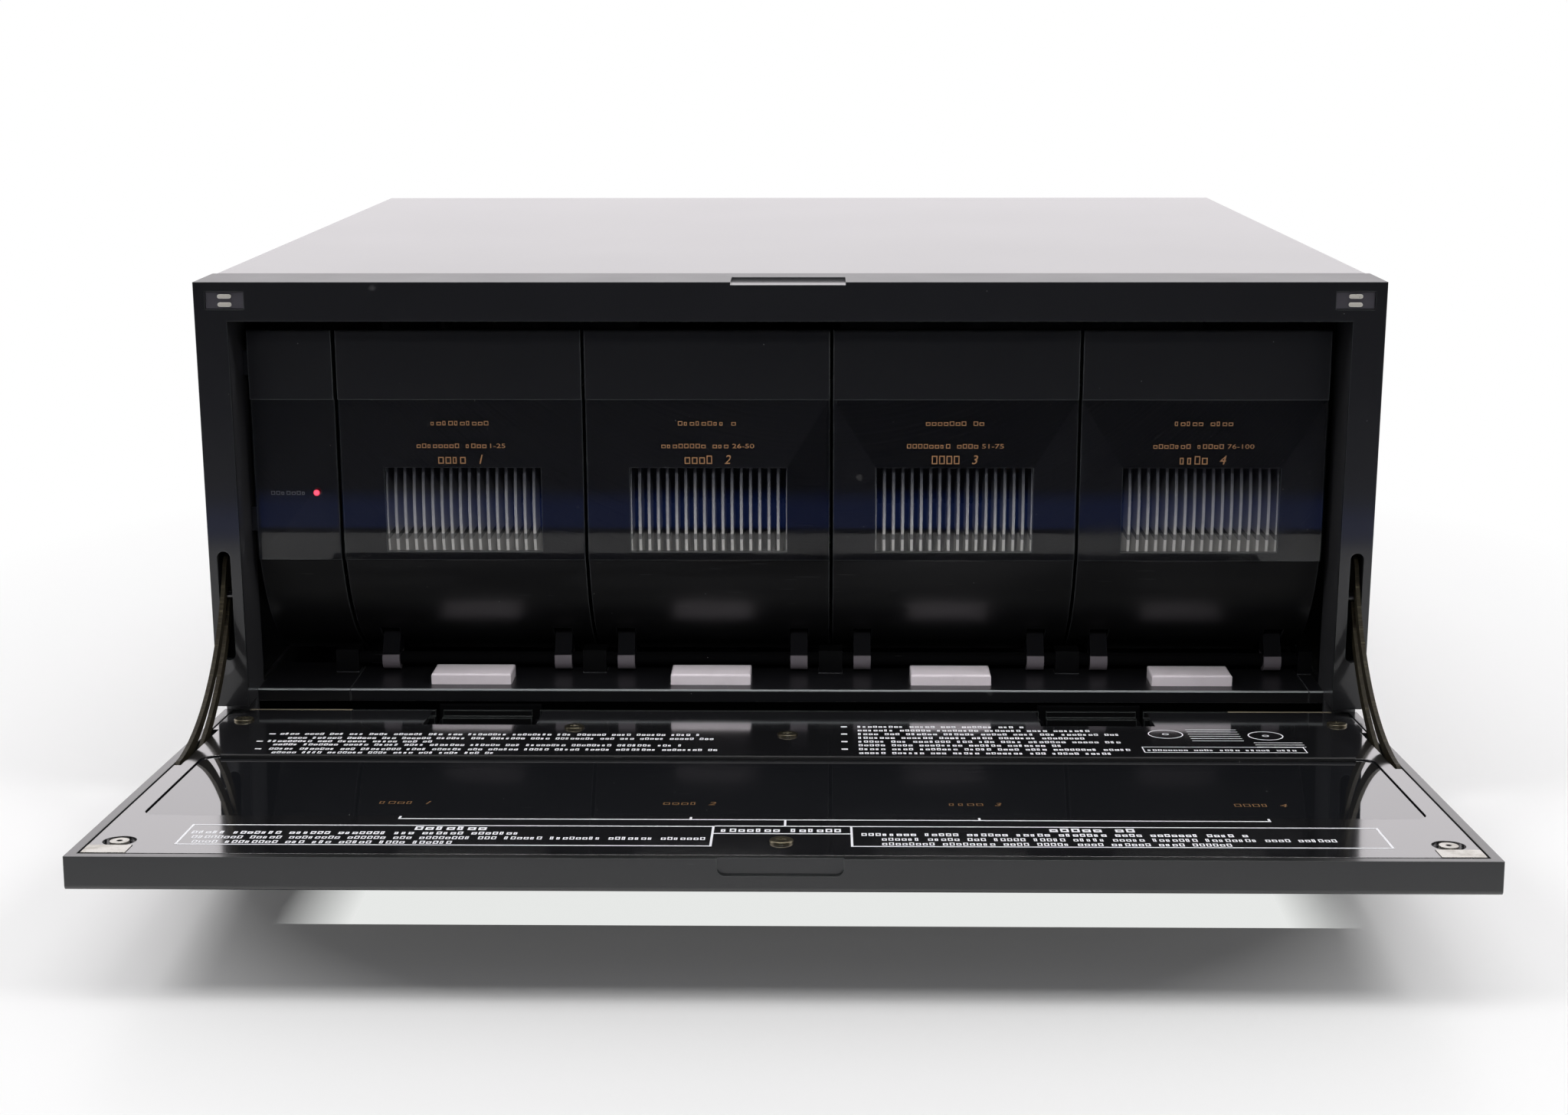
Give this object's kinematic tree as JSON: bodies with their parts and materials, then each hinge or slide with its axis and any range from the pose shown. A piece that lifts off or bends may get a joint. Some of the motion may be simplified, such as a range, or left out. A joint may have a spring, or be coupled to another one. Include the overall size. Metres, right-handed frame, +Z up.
{
  "type": "cd mega changer",
  "caption": "Low hi-fi disc changer: drop-down front door with smoked window, tilting file-style disc racks, eject keys and a sliding play carriage.",
  "frame": {"origin": "on the table under the feet, at the middle of the whole changer's length with its door open", "axes": "+X to the right seen from the front, +Y to the rear, +Z up"},
  "size_m": [0.424, 0.5653, 0.192],
  "materials": {
    "cover_paint": "semi-gloss black paint",
    "zinc_steel": "zinc-plated sheet",
    "bezel_plastic": "satin black moulding",
    "ledge_plastic": "satin black moulding",
    "catch_plastic": "dark grey",
    "bright_steel": "bright",
    "plated_steel": "yellow-chromate plated strip",
    "smoked_acrylic": "smoked, polished",
    "red_lens": "clear red",
    "door_plastic": "satin black moulding",
    "liner_gloss": "polished black",
    "nickel": "nickel plated",
    "black_screw": "black oxide",
    "rack_plastic": "satin black moulding",
    "comb_plastic": "light grey moulding",
    "button_plastic": "pale mauve-grey",
    "key_plastic": "satin",
    "mechanism_plastic": "black moulding",
    "motor_steel": "plain steel",
    "circuit_board": "solder mask",
    "gold_socket": "gold flash",
    "socket_plastic": "black",
    "foot_plastic": "black moulding with a felt pad"
  },
  "bodies": {
    "cabinet": {"bottom_chassis": "zinc_steel", "top_cover": "cover_paint", "rear_panel": "zinc_steel", "front_bezel": "bezel_plastic", "catch_plates": "catch_plastic", "catch_poles": "bright_steel", "eject_ledge": "ledge_plastic", "ledge_ends": "ledge_plastic", "rack_shaft": "bright_steel", "standby_panel": "bezel_plastic", "standby_window": "smoked_acrylic", "standby_lens": "red_lens", "hinge_brackets": "bright_steel", "stay_guides": "bright_steel", "guide_rods": "bright_steel", "feed_strip": "bright_steel", "power_transformer": "motor_steel", "main_board": "circuit_board", "audio_sockets": "gold_socket", "mains_inlet": "socket_plastic", "feet": "foot_plastic", "cover_screws": "black_screw"},
    "door": {"door_frame": "door_plastic", "door_liner": "liner_gloss", "window_pane": "smoked_acrylic", "window_trim": "liner_gloss", "front_lenses": "smoked_acrylic", "door_strikes": "nickel", "liner_screws": "nickel", "display_board": "circuit_board", "stay_pivots": "bright_steel"},
    "power_button": {"power_button": "key_plastic"},
    "key_1": {"key_1": "key_plastic"},
    "key_2": {"key_2": "key_plastic"},
    "key_3": {"key_3": "key_plastic"},
    "key_4": {"key_4": "key_plastic"},
    "stay_left": {"stay_left": "plated_steel"},
    "stay_right": {"stay_right": "plated_steel"},
    "rack_1": {"rack_1_comb": "comb_plastic", "rack_1_front": "rack_plastic", "rack_1_window": "smoked_acrylic"},
    "rack_2": {"rack_2_comb": "comb_plastic", "rack_2_front": "rack_plastic", "rack_2_window": "smoked_acrylic"},
    "rack_3": {"rack_3_comb": "comb_plastic", "rack_3_front": "rack_plastic", "rack_3_window": "smoked_acrylic"},
    "rack_4": {"rack_4_comb": "comb_plastic", "rack_4_front": "rack_plastic", "rack_4_window": "smoked_acrylic"},
    "eject_button_1": {"eject_button_1": "button_plastic"},
    "eject_button_2": {"eject_button_2": "button_plastic"},
    "eject_button_3": {"eject_button_3": "button_plastic"},
    "eject_button_4": {"eject_button_4": "button_plastic"},
    "carriage": {"carriage_frame": "mechanism_plastic", "carriage_motors": "motor_steel"},
    "turntable": {"turntable": "mechanism_plastic"},
    "pickup_sled": {"pickup_sled": "mechanism_plastic"},
    "clamp_arm": {"clamp_arm": "mechanism_plastic"}
  },
  "joints": [
    {"name": "door_hinge", "type": "hinge", "parent": "cabinet", "child": "door", "pos_m": [0, -0.11492, 0.02338], "axis": [1, 0, 0], "range_deg": [-86.24, 0]},
    {"name": "stay_left_pivot", "type": "hinge", "parent": "door", "child": "stay_left", "pos_m": [-0.2055, -0.17323, 0.03423], "axis": [1, 0, 0], "range_deg": [0, 67.1]},
    {"name": "stay_right_pivot", "type": "hinge", "parent": "door", "child": "stay_right", "pos_m": [0.2055, -0.17323, 0.03423], "axis": [1, 0, 0], "range_deg": [0, 67.1]},
    {"name": "power_button_press", "type": "slide", "parent": "door", "child": "power_button", "axis": [0, 0.0656, 0.9978], "range_m": [0, 0.001], "stiffness_N_per_m": 500, "springref_m": -0.0005},
    {"name": "key_1_press", "type": "slide", "parent": "door", "child": "key_1", "axis": [0, 0.0656, 0.9978], "range_m": [0, 0.0008], "stiffness_N_per_m": 500, "springref_m": -0.0005},
    {"name": "key_2_press", "type": "slide", "parent": "door", "child": "key_2", "axis": [0, 0.0656, 0.9978], "range_m": [0, 0.0008], "stiffness_N_per_m": 500, "springref_m": -0.0005},
    {"name": "key_3_press", "type": "slide", "parent": "door", "child": "key_3", "axis": [0, 0.0656, 0.9978], "range_m": [0, 0.0008], "stiffness_N_per_m": 500, "springref_m": -0.0005},
    {"name": "key_4_press", "type": "slide", "parent": "door", "child": "key_4", "axis": [0, 0.0656, 0.9978], "range_m": [0, 0.0008], "stiffness_N_per_m": 500, "springref_m": -0.0005},
    {"name": "rack_1_tilt", "type": "hinge", "parent": "cabinet", "child": "rack_1", "pos_m": [0, -0.06325, 0.0432], "axis": [1, 0, 0], "range_deg": [0, 38]},
    {"name": "rack_2_tilt", "type": "hinge", "parent": "cabinet", "child": "rack_2", "pos_m": [0, -0.06325, 0.0432], "axis": [1, 0, 0], "range_deg": [0, 38]},
    {"name": "rack_3_tilt", "type": "hinge", "parent": "cabinet", "child": "rack_3", "pos_m": [0, -0.06325, 0.0432], "axis": [1, 0, 0], "range_deg": [0, 38]},
    {"name": "rack_4_tilt", "type": "hinge", "parent": "cabinet", "child": "rack_4", "pos_m": [0, -0.06325, 0.0432], "axis": [1, 0, 0], "range_deg": [0, 38]},
    {"name": "eject_button_1_press", "type": "slide", "parent": "cabinet", "child": "eject_button_1", "axis": [0, 0, -1], "range_m": [0, 0.003], "stiffness_N_per_m": 300, "springref_m": -0.002},
    {"name": "eject_button_2_press", "type": "slide", "parent": "cabinet", "child": "eject_button_2", "axis": [0, 0, -1], "range_m": [0, 0.003], "stiffness_N_per_m": 300, "springref_m": -0.002},
    {"name": "eject_button_3_press", "type": "slide", "parent": "cabinet", "child": "eject_button_3", "axis": [0, 0, -1], "range_m": [0, 0.003], "stiffness_N_per_m": 300, "springref_m": -0.002},
    {"name": "eject_button_4_press", "type": "slide", "parent": "cabinet", "child": "eject_button_4", "axis": [0, 0, -1], "range_m": [0, 0.003], "stiffness_N_per_m": 300, "springref_m": -0.002},
    {"name": "carriage_travel", "type": "slide", "parent": "cabinet", "child": "carriage", "axis": [1, 0, 0], "range_m": [0, 0.3519]},
    {"name": "turntable_spin", "type": "hinge", "parent": "carriage", "child": "turntable", "pos_m": [-0.1604, 0.10775, 0.104], "axis": [1, 0, 0], "continuous": true},
    {"name": "pickup_travel", "type": "slide", "parent": "carriage", "child": "pickup_sled", "axis": [0, 1, 0], "range_m": [0, 0.035]},
    {"name": "clamp_release", "type": "hinge", "parent": "carriage", "child": "clamp_arm", "pos_m": [-0.1554, 0.10775, 0.168], "axis": [0, -1, 0], "range_deg": [0, 4], "stiffness_Nm_per_rad": 0.05, "springref_deg": -11.46}
  ],
  "couplings": [
    {"joint": "stay_left_pivot", "follows": "door_hinge", "ratio": -0.77783},
    {"joint": "stay_right_pivot", "follows": "door_hinge", "ratio": -0.77783}
  ]
}
